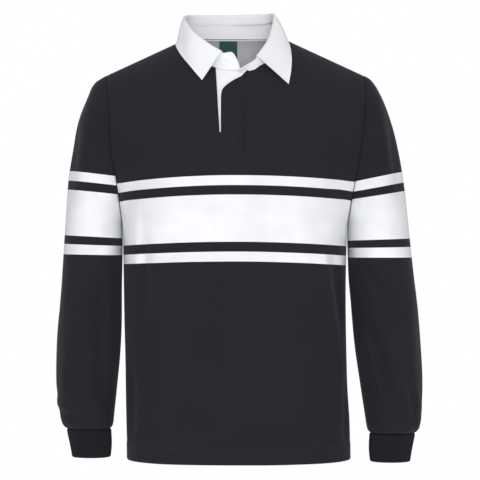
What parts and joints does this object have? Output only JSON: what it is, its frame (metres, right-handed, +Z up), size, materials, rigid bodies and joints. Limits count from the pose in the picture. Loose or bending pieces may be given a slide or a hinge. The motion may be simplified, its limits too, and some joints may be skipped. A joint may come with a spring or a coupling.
{
  "type": "long-sleeved rugby shirt, filled out as worn",
  "caption": "Long-sleeved rugby shirt held in its worn shape, with a woven turn-down collar, a short placket, ribbed cuffs and a banded chest.",
  "frame": {"origin": "between the two neck points, level with the top of the wearer's shoulders, which hold the shirt up", "axes": "+Z up, -Y the way the wearer faces, +X towards the wearer's left"},
  "size_m": [0.6465, 0.276, 0.7985],
  "materials": {
    "jersey": "heavy cotton jersey in navy with knitted white bands at the chest, matt",
    "rib": "fine cotton rib in navy, matt",
    "twill": "white cotton twill, matt, pressed",
    "label": "green woven label, slight satin",
    "button": "white rubbery plastic, soft gloss"
  },
  "bodies": {
    "root": {"front": "jersey", "back": "jersey", "sleeve_right": "jersey", "sleeve_left": "jersey", "cuff_right": "rib", "cuff_left": "rib", "collar_stand": "twill", "collar_fall": "twill", "placket_over": "jersey", "placket_facing": "twill", "placket_under": "twill", "neck_facing": "twill", "neck_label": "label", "button": "button"}
  },
  "joints": []
}
